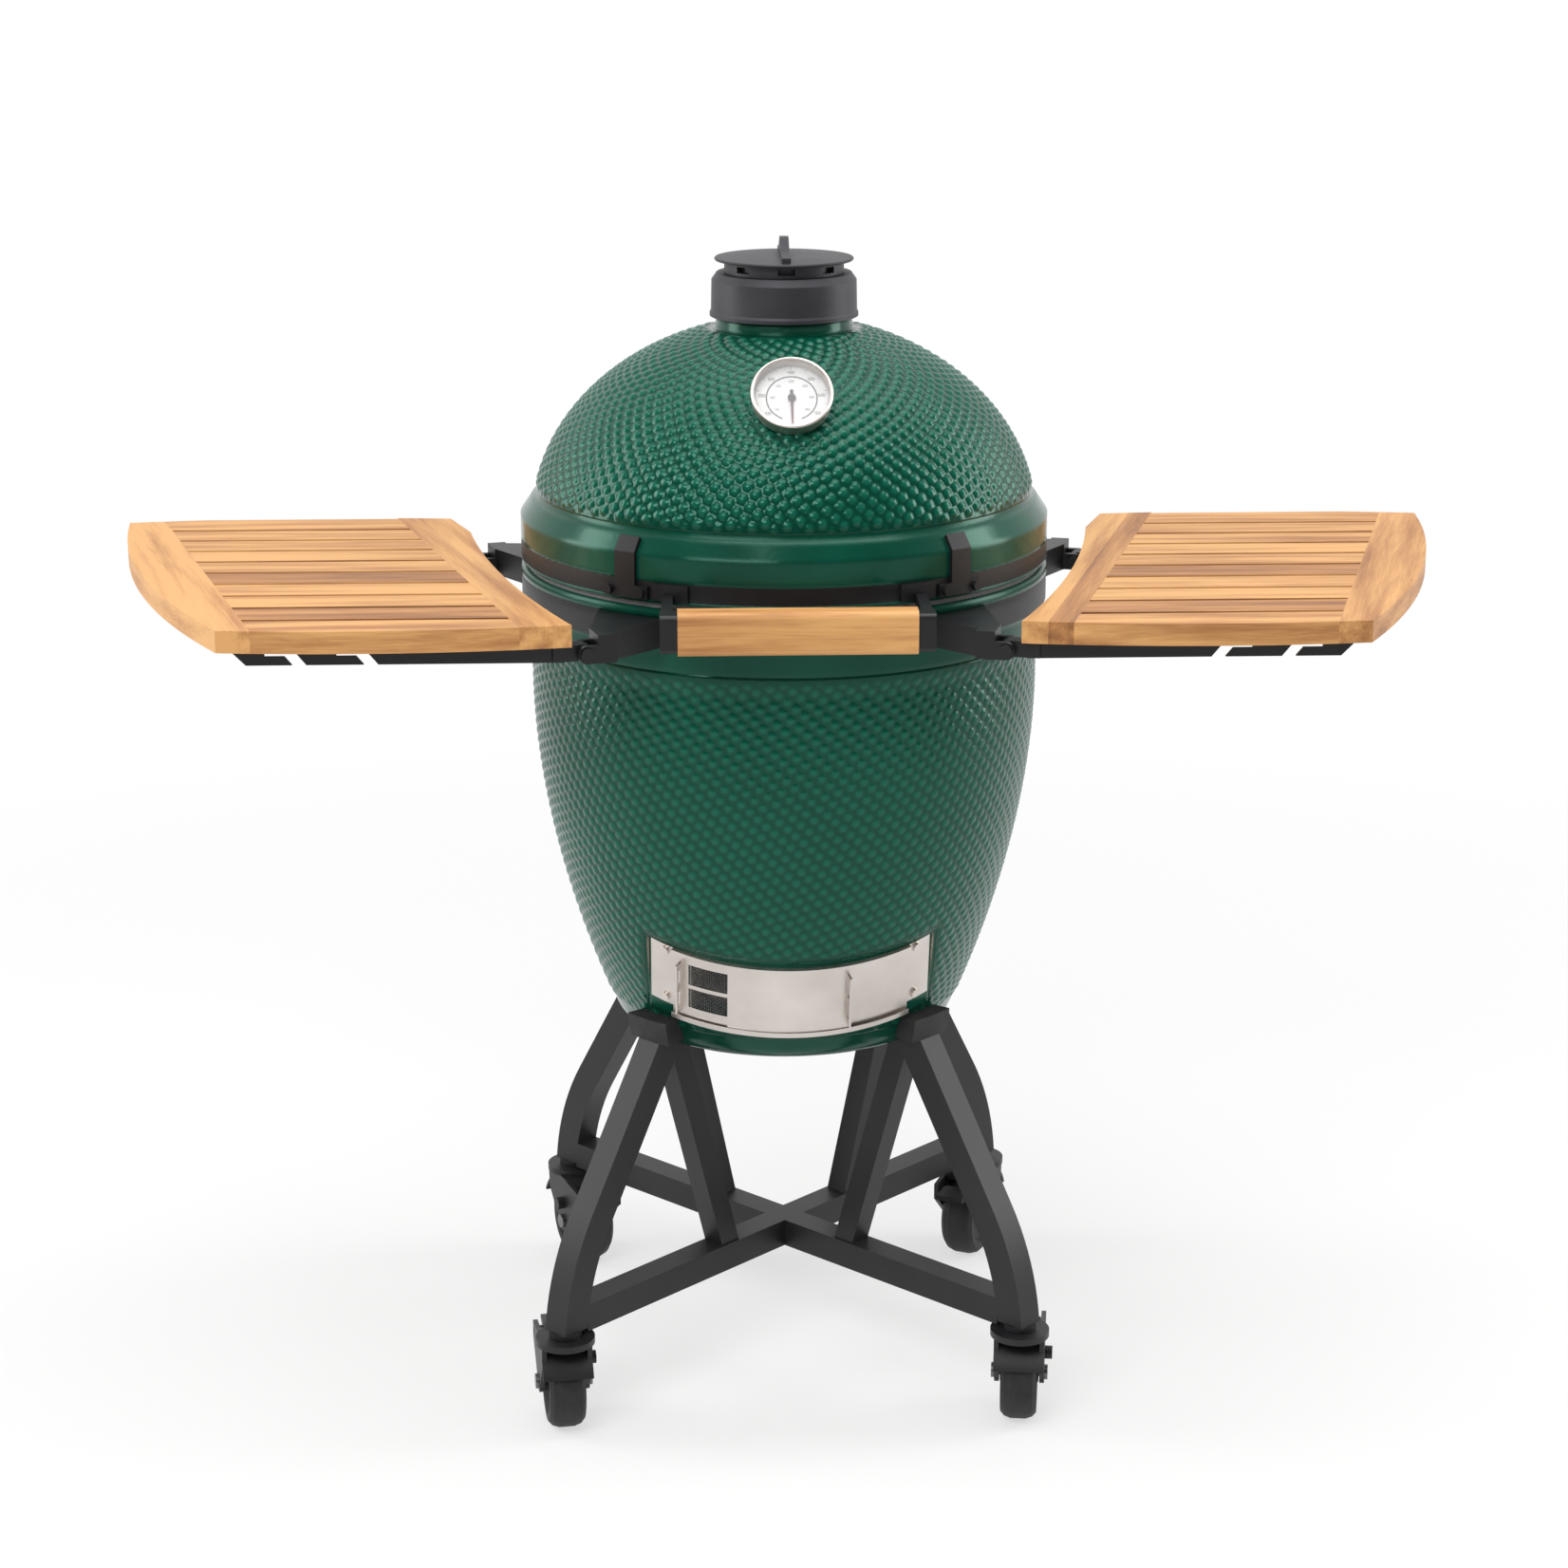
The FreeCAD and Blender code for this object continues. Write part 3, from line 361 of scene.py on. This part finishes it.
black_steel = new_material("black_steel", Roughness=0.36, Specular_IOR_Level=0.4)
orange_peel = noise(black_steel, 520.0, 3.0)
dust = noise(black_steel, 14.0, 5.0)
wire_up(black_steel, Base_Color=ramp(black_steel, dust, (0.3, (0.0055, 0.0055, 0.0065, 1)),
                                     (0.75, (0.011, 0.011, 0.0125, 1))))
wire_up(black_steel, Roughness=rescale(black_steel, dust, 0.0, 1.0, 0.33, 0.5))
wire_up(black_steel, Normal=bump(black_steel, orange_peel, 0.25, 0.0003))
dress(black_steel, "upper_band", "lower_band", "band_clips", "band_bolts", "hinge_lower", "hinge_upper",
      "hinge_pin", "handle_brackets", "shelf_brackets", "shelf_pins", "shelf_left_rails", "shelf_right_rails")

spring_steel = new_material("spring_steel", Metallic=0.9, Roughness=0.35)
rub = noise(spring_steel, 90.0, 4.0)
wire_up(spring_steel, Base_Color=ramp(spring_steel, rub, (0.25, grey(0.09)), (0.8, grey(0.24))))
wire_up(spring_steel, Normal=bump(spring_steel, rub, 0.2, 0.0002))


def tube(path, radius, sides, up):
    """Round wire: a circle in the plane across the path at each of its points, shrunk away at both ends."""
    ahead = np.gradient(path, axis=0)
    ahead /= np.linalg.norm(ahead, axis=1, keepdims=True)
    side = np.cross(ahead, up)
    side /= np.linalg.norm(side, axis=1, keepdims=True)
    over = np.cross(side, ahead)
    turn = 2 * np.pi * np.arange(sides) / sides
    size = np.full(len(path), radius)
    size[0] = size[-1] = radius * 0.01
    circle = side[:, None] * np.cos(turn)[None, :, None] - over[:, None] * np.sin(turn)[None, :, None]
    return path[:, None] - circle * size[:, None, None]


def coil(side):
    """Wound spring on the hinge pin: a circle about the pin that steps along it steadily."""
    step = np.linspace(0.0, 1.0, COIL_TURNS * COIL_STEPS + 1)
    turn = 2 * np.pi * COIL_TURNS * step
    x = side * (COIL_ENDS[0] + (COIL_ENDS[1] - COIL_ENDS[0]) * step)
    path = np.stack([x, HINGE_AT[0] + COIL_R * np.cos(turn), HINGE_AT[1] + COIL_R * np.sin(turn)], axis=-1)
    return tube(path, COIL_WIRE_R, 8, np.array([1.0, 0.0, 0.0]))


coils = [(coil(side), True, None) for side in (-1, 1)]
springs = build("hinge_coils", coils, spring_steel, "grill")
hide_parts("hinge_springs")

# ---------------------------------------------------------------- wooden handle and shelves
# Oiled acacia. The handle is one squared bar with rounded edges; each shelf is two broad end boards,
# glued up from staves, with ten strips between them. The grain runs along each length, and staves
# and strips differ in tone.
WOOD_DARK = (0.175, 0.064, 0.020, 1)
WOOD_MID = (0.415, 0.180, 0.056, 1)
WOOD_LIGHT = (0.680, 0.360, 0.128, 1)
STRIP_START = 0.339
STRIP_PITCH = 0.0546
STAVE = 0.091
STAVE_EDGE = -0.322
FIRST_STAVE = {"right": 13, "left": 10}
HANDLE_STAVE = 1.0
STREAK_STRETCH = (1.6, 22.0, 22.0)
PORE_STRETCH = (1.5, 34.0, 34.0)
BOARD_TURN = math.radians(90) - math.atan(0.285)


def make_wood(name, turn, stave, start):
    """Long streaks of noise along the grain with finer pores, darker or lighter from stave to stave.

    The grain is turned to run along the board; staves are counted across it from a starting place.
    """
    material = new_material(name, Roughness=0.5, Specular_IOR_Level=0.4)
    turned = (0, 0, turn)
    streak = noise(material, 2.6, 5.0, place_of(material, STREAK_STRETCH, turned))
    pores = noise(material, 16.0, 4.0, place_of(material, PORE_STRETCH, turned))
    across = node(material, "ShaderNodeSeparateXYZ", Vector=place_of(material, turn=turned)).outputs["Y"]
    count = reckon(material, "FLOOR", rescale(material, across, start, start + stave, clamp=False))
    tone = node(material, "ShaderNodeTexWhiteNoise", {"noise_dimensions": "1D"}, W=count).outputs["Value"]
    deep = reckon(material, "MULTIPLY_ADD", pores, 0.3, reckon(material, "MULTIPLY_ADD", tone, 0.34, streak))
    colour = ramp(material, deep, (0.45, WOOD_DARK), (0.72, WOOD_MID), (1.0, WOOD_LIGHT))
    wire_up(material, Base_Color=colour, Normal=bump(material, pores, 0.35, 0.0004))
    return material


dress(make_wood("acacia_strips", 0, STRIP_PITCH, -STRIP_START), "shelf_left_slats", "shelf_right_slats")
for side, turn in (("right", -BOARD_TURN), ("left", BOARD_TURN)):
    wood = make_wood("acacia_" + side + "_boards", turn, STAVE, STAVE_EDGE - FIRST_STAVE[side] * STAVE)
    dress(wood, "shelf_" + side + "_inner_board", "shelf_" + side + "_outer_board")
dress(make_wood("acacia_handle", 0, HANDLE_STAVE, -HANDLE_STAVE / 2), "handle_grip")

# ---------------------------------------------------------------- thermometer
# A stainless case on a boss in the dome, with a white printed dial, one hand and a glass lens.
# The print is two scales of plain numbers: a ring of long and short ticks and an inner open ring.
DIAL_Z = 1.083
DIAL_TILT = math.radians(49.0)
DIAL_FACE = 0.01006
HAND_SPAN = (1.070, 1.100)
SCALE_ENDS = (30.0, 330.0)                                 # bearings from the bottom of the dial
TICKS = ((61, 0.0345, 0.0362, 0.0003), (13, 0.0335, 0.0362, 0.0006), (31, 0.0232, 0.0242, 0.0003))
RINGS = ((0.0365, 0.0004, 30.0, 330.0), (0.0250, 0.0013, 22.0, 338.0))
FIGURES = ((100, 0.0298, 55.0, 41.6, 0.0031), (50, 0.0195, 50.0, 43.3, 0.0024))
FIGURE_COUNT = 7
FIGURE_SHAPE = (0.5, 0.8, 0.16)                            # width, spacing and stroke over the height
DIGIT_BARS = ("abcdef", "bc", "abged", "abgcd", "fgbc", "afgcd", "afgedc", "abc", "abcdefg", "abcdfg")
BAR_ENDS = {"a": (0, 1, 1, 1), "b": (1, 1, 1, 0.5), "c": (1, 0.5, 1, 0), "d": (0, 0, 1, 0),
            "e": (0, 0.5, 0, 0), "f": (0, 1, 0, 0.5), "g": (0, 0.5, 1, 0.5)}


def dial_place(x, y, z):
    """Turn flat dial coordinates, y up the dial and z out of it, onto the dome's slope."""
    out = -dome_profile(DIAL_Z)
    return np.stack([x, out + y * math.cos(DIAL_TILT) - z * math.sin(DIAL_TILT),
                     DIAL_Z + y * math.sin(DIAL_TILT) + z * math.cos(DIAL_TILT)], axis=-1)


def stroke(x0, y0, x1, y1, width):
    """Thin printed bar between two points."""
    length = math.hypot(x1 - x0, y1 - y0)
    nx = -(y1 - y0) / length * width / 2
    ny = (x1 - x0) / length * width / 2
    x = np.array([[x0 - nx, x1 - nx], [x0 + nx, x1 + nx]])
    y = np.array([[y0 - ny, y1 - ny], [y0 + ny, y1 + ny]])
    return dial_place(x, y, np.full((2, 2), DIAL_FACE)), False, None


def open_ring(radius, width, start, end):
    """Printed arc: two circles a line's width apart, from one bearing to another."""
    turn = np.radians(np.linspace(start, end, 120))[None, :]
    size = np.array([[radius + width / 2], [radius - width / 2]])
    return dial_place(size * np.sin(-turn), -size * np.cos(turn), DIAL_FACE + 0 * size * turn), False, None


def number(text, radius, bearing, height):
    """Upright figures built from short bars, centred at a bearing from the bottom of the dial."""
    turn = math.radians(bearing)
    width, pitch, line = (share * height for share in FIGURE_SHAPE)
    x0 = -radius * math.sin(turn) - (len(text) * pitch - (pitch - width)) / 2
    y0 = -radius * math.cos(turn) - height / 2
    bars = []
    for place, figure in enumerate(text):
        for bar in DIGIT_BARS[int(figure)]:
            ax, ay, bx, by = BAR_ENDS[bar]
            left = x0 + place * pitch
            start = (left + ax * width, y0 + ay * height)
            bars.append(stroke(*start, left + bx * width, y0 + by * height, line))
    return bars


def ticks(count, inner, outer, width):
    """Radial ticks spread evenly over the scale."""
    bars = []
    for bearing in np.radians(np.linspace(*SCALE_ENDS, count)):
        across = -math.sin(bearing)
        down = -math.cos(bearing)
        bars.append(stroke(inner * across, inner * down, outer * across, outer * down, width))
    return bars


ink = new_material("dial_ink", Roughness=0.6)
wire_up(ink, Base_Color=ramp(ink, noise(ink, 300.0), (0.2, grey(0.05)), (0.8, grey(0.09))))
print_sheets = []
for row in TICKS:
    print_sheets += ticks(*row)
for row in RINGS:
    print_sheets.append(open_ring(*row))
for step, radius, first, spread, size in FIGURES:
    for place in range(FIGURE_COUNT):
        print_sheets += number(str(step * (place + 1)), radius, first + spread * place, size)
build("dial_print", print_sheets, ink, "lid")

dial_paint = new_material("dial_white", Roughness=0.45)
haze = noise(dial_paint, 60.0, 3.0)
wire_up(dial_paint, Base_Color=ramp(dial_paint, haze, (0.3, grey(0.74)), (0.8, grey(0.82))))
dress(dial_paint, "thermometer_dial")

hand_paint = new_material("hand_paint", Roughness=0.4)
height = node(hand_paint, "ShaderNodeSeparateXYZ", Vector=place_of(hand_paint)).outputs["Z"]
along_hand = rescale(hand_paint, height, *HAND_SPAN)
wire_up(hand_paint, Base_Color=ramp(hand_paint, along_hand, (0.0, (0.16, 0.02, 0.03, 1)),
                                    (0.55, (0.05, 0.01, 0.015, 1)), (0.75, grey(0.012))))
dress(hand_paint, "thermometer_needle")

lens_glass = new_material("lens_glass", Roughness=0.03, IOR=1.45, Alpha=0.10)
wire_up(lens_glass, Normal=bump(lens_glass, noise(lens_glass, 40.0), 0.02, 0.0002))
dress(lens_glass, "thermometer_lens")

# ---------------------------------------------------------------- stainless parts
# Air door, its sliding screen, the frame and the thermometer's case are brushed stainless sheet.
# The screen's two windows hold a fine woven wire mesh, pinched between the sheet and its edges.
STEEL_DARK = (0.60, 0.55, 0.51, 1)
STEEL_LIGHT = (0.72, 0.67, 0.63, 1)
MESH_PITCH = 0.0021
MESH_WIRE_R = 0.00032
MESH_DEPTH = 0.0019
MESH_WINDOWS = ((-0.0242, 0.0012), (0.0058, 0.0322))
MESH_ACROSS = (math.radians(-29.3), math.radians(-0.7))


def make_stainless(name, stretch, roughness):
    """Warm grey steel with fine brushing streaks along one direction and faint handling marks."""
    material = new_material(name, Metallic=1.0, Roughness=roughness)
    brushing = noise(material, 60.0, 3.0, place_of(material, stretch))
    marks = noise(material, 18.0, 5.0)
    wire_up(material, Base_Color=ramp(material, marks, (0.3, STEEL_DARK), (0.75, STEEL_LIGHT)))
    wire_up(material, Roughness=rescale(material, brushing, 0.0, 1.0, roughness - 0.06, roughness + 0.12))
    wire_up(material, Normal=bump(material, brushing, 0.12, 0.0002))
    return material


brushed = make_stainless("brushed_stainless", (1.0, 1.0, 30.0), 0.36)
dress(brushed, "vent_frame", "vent_door", "vent_screen", "thermometer_case")
dress(make_stainless("ground_rod", (12.0, 12.0, 1.0), 0.3), "cooking_grid", "vent_bolts")


def vent_place(angle, along, radius):
    """Point on the leaning door cylinder: round it by an angle from the front, up it by a length."""
    y = -radius * np.cos(angle)
    centre_y = -base_profile(VENT_Z) + VENT_R * math.cos(VENT_LEAN)
    centre_z = VENT_Z + VENT_R * math.sin(VENT_LEAN)
    return np.stack([radius * np.sin(angle) + 0 * along,
                     centre_y + y * math.cos(VENT_LEAN) - along * math.sin(VENT_LEAN),
                     centre_z + y * math.sin(VENT_LEAN) + along * math.cos(VENT_LEAN)], axis=-1)


def woven_mesh():
    """Wires both ways over each window; each one waves over and under its neighbours like a cosine."""
    wires = []
    depth = VENT_R + MESH_DEPTH
    across_count = int((MESH_ACROSS[1] - MESH_ACROSS[0]) * VENT_R / MESH_PITCH)
    columns = np.linspace(*MESH_ACROSS, across_count)
    for low, high in MESH_WINDOWS:
        rows = np.linspace(low, high, int((high - low) / MESH_PITCH))
        fine = np.linspace(0, len(rows) - 1, 2 * len(rows) - 1)
        for k, angle in enumerate(columns):
            wave = MESH_WIRE_R * np.cos(np.pi * (fine + k))
            path = vent_place(angle + 0 * fine, np.interp(fine, np.arange(len(rows)), rows), depth + wave)
            wires.append((tube(path, MESH_WIRE_R, 4, np.array([1.0, 0.0, 0.0])), True, None))
        fine = np.linspace(0, len(columns) - 1, 2 * len(columns) - 1)
        for k, height in enumerate(rows):
            wave = -MESH_WIRE_R * np.cos(np.pi * (fine + k))
            angle = np.interp(fine, np.arange(len(columns)), columns)
            path = vent_place(angle, height + 0 * fine, depth + wave)
            wires.append((tube(path, MESH_WIRE_R, 4, np.array([0.0, 0.0, 1.0])), True, None))
    return wires


mesh_wire = new_material("mesh_wire", Metallic=0.9, Roughness=0.4)
wire_up(mesh_wire, Base_Color=ramp(mesh_wire, noise(mesh_wire, 200.0), (0.2, grey(0.10)), (0.8, grey(0.22))))
mesh_screen = build("vent_wires", woven_mesh(), mesh_wire, "air_screen")
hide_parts("vent_mesh")

# ---------------------------------------------------------------- top vent
# The chimney cap is sandy cast iron with a dull grey coat: a ring that sits on the dome's collar, a
# neck with eight side ports, and a disc on top that swings aside and turns by its fin.
cap_metal = new_material("cap_casting", Metallic=0.35, Roughness=0.5)
sand = noise(cap_metal, 700.0, 4.0)
patch = noise(cap_metal, 20.0, 4.0)
wire_up(cap_metal, Base_Color=ramp(cap_metal, patch, (0.3, (0.026, 0.026, 0.031, 1)),
                                   (0.75, (0.046, 0.045, 0.053, 1))))
wire_up(cap_metal, Normal=bump(cap_metal, sand, 0.35, 0.0003))
dress(cap_metal, "cap_body", "cap_neck", "cap_disc")

# ---------------------------------------------------------------- stand and casters
# The nest is square tube, bent at the legs and welded to a crossed frame, under black powder coat.
# Four casters with rubber tyres and foot brakes plug into the feet.
powder = new_material("powder_coat", Roughness=0.44, Specular_IOR_Level=0.38)
fleck = noise(powder, 950.0, 2.0)
worn = noise(powder, 8.0, 5.0)
wire_up(powder, Base_Color=ramp(powder, worn, (0.3, (0.0095, 0.0095, 0.011, 1)),
                                (0.75, (0.017, 0.017, 0.019, 1))))
wire_up(powder, Normal=bump(powder, fleck, 0.3, 0.0003))
dress(powder, "nest_legs", "nest_frame", "caster_stems")

rubber = new_material("black_rubber", Roughness=0.68)
scuff = noise(rubber, 70.0, 6.0)
wire_up(rubber, Base_Color=ramp(rubber, scuff, (0.3, grey(0.008)), (0.8, grey(0.022))))
wire_up(rubber, Normal=bump(rubber, scuff, 0.3, 0.0004))
plastic = new_material("black_plastic", Roughness=0.42)
grit = noise(plastic, 800.0, 2.0)
wire_up(plastic, Base_Color=ramp(plastic, grit, (0.2, grey(0.008)), (0.8, grey(0.015))))
wire_up(plastic, Normal=bump(plastic, grit, 0.2, 0.0002))
dress(rubber, "cradle_pads")
for corner in ("fl", "fr", "bl", "br"):
    dress(rubber, "caster_" + corner + "_wheel")
    dress(plastic, "caster_" + corner + "_pedal")
    dress(powder, "caster_" + corner + "_fork")
    dress(spring_steel, "caster_" + corner + "_axle")

# ---------------------------------------------------------------- studio
# Plain pale floor, broad soft lamps from the front, both sides and above, and white all round. The
# room in front is dimmer in reflections only, and the floor glows white away from the object.
FLOOR_HALF = 9.0
FLOOR_Z = -0.0002
ROOM_LIGHT = 0.38
ROOM_FRONT = 0.11
ROOM_FADE = (-0.45, 0.25)
LAMPS = (("front_lamp", (-1.5, -3.0, 3.4), 78.0, (2.4, 1.4)),
         ("left_lamp", (-3.0, 0.3, 1.7), 42.0, (1.2, 2.4)),
         ("right_lamp", (3.0, 0.2, 1.7), 48.0, (1.2, 2.4)),
         ("top_lamp", (0.2, -0.4, 3.7), 66.0, (2.8, 2.2)))

NEAR_GLOW = 0.6
GLOW_REACH = (0.5, 2.6)
LAMP_AIM_Z = 0.75

floor_paint = new_material("studio_floor", Roughness=0.9, Base_Color=grey(0.86))
rays = node(floor_paint, "ShaderNodeLightPath").outputs
seen = reckon(floor_paint, "MAXIMUM", rays["Is Camera Ray"], rays["Is Glossy Ray"])
seen = reckon(floor_paint, "MAXIMUM", seen, rays["Is Transmission Ray"])
away = reckon(floor_paint, "LENGTH", place_of(floor_paint), kind="ShaderNodeVectorMath", output="Value")
share = reckon(floor_paint, "MULTIPLY", seen, rescale(floor_paint, away, *GLOW_REACH, NEAR_GLOW, 1.0))
glow = node(floor_paint, "ShaderNodeEmission", Color=grey(1.0), Strength=1.0)
blend = node(floor_paint, "ShaderNodeMixShader", Fac=share)
floor_nodes = floor_paint.node_tree.nodes
floor_paint.node_tree.links.new(floor_nodes["Principled BSDF"].outputs[0], blend.inputs[1])
floor_paint.node_tree.links.new(glow.outputs[0], blend.inputs[2])
floor_paint.node_tree.links.new(blend.outputs[0], floor_nodes["Material Output"].inputs["Surface"])
floor_mesh = bpy.data.meshes.new("floor")
floor_corners = [(x * FLOOR_HALF, y * FLOOR_HALF, FLOOR_Z) for x, y in ((-1, -1), (1, -1), (1, 1), (-1, 1))]
floor_mesh.from_pydata(floor_corners, [], [(0, 1, 2, 3)])
floor_mesh.materials.append(floor_paint)
floor = bpy.data.objects.new("floor", floor_mesh)
bpy.context.scene.collection.objects.link(floor)

for name, place, power, size in LAMPS:
    lamp = bpy.data.lights.new(name, "AREA")
    lamp.shape = "RECTANGLE"
    lamp.size, lamp.size_y = size
    lamp.energy = power
    holder = bpy.data.objects.new(name, lamp)
    holder.location = place
    aim = -holder.location
    aim.z += LAMP_AIM_Z
    holder.rotation_euler = aim.to_track_quat("-Z", "Y").to_euler()
    bpy.context.scene.collection.objects.link(holder)

world = bpy.data.worlds.new("studio")
bpy.context.scene.world = world
world.use_nodes = True
sky = world.node_tree.nodes["Background"]
sky.inputs["Color"].default_value = grey(1.0)
sky_rays = node(world, "ShaderNodeLightPath").outputs
heading = node(world, "ShaderNodeTexCoord").outputs["Generated"]
depth = node(world, "ShaderNodeSeparateXYZ", Vector=heading).outputs["Y"]
mirrored = rescale(world, depth, *ROOM_FADE, ROOM_FRONT, 1.0)
mirrored = reckon(world, "MULTIPLY", mirrored, sky_rays["Is Glossy Ray"])
plain = reckon(world, "MAXIMUM", sky_rays["Is Camera Ray"], sky_rays["Is Transmission Ray"])
spread = reckon(world, "MULTIPLY", sky_rays["Is Diffuse Ray"], ROOM_LIGHT)
level = reckon(world, "MAXIMUM", reckon(world, "MAXIMUM", plain, mirrored), spread)
world.node_tree.links.new(level, sky.inputs["Strength"])

CAMERA_TURN = math.radians(-2.3)
CAMERA_BACK = 3.4608
CAMERA_HEIGHT = 1.625
CAMERA_PITCH = math.radians(90.0 - 15.87)
CAMERA_LENS = 76.8
SENSOR = 36.0
camera_data = bpy.data.cameras.new("camera")
camera_data.lens = CAMERA_LENS
camera_data.sensor_width = SENSOR
camera = bpy.data.objects.new("camera", camera_data)
camera.location = (CAMERA_BACK * math.sin(CAMERA_TURN), -CAMERA_BACK * math.cos(CAMERA_TURN), CAMERA_HEIGHT)
camera.rotation_euler = (CAMERA_PITCH, 0.0, CAMERA_TURN)
bpy.context.scene.collection.objects.link(camera)
bpy.context.scene.camera = camera
bpy.context.scene.view_settings.view_transform = "Standard"
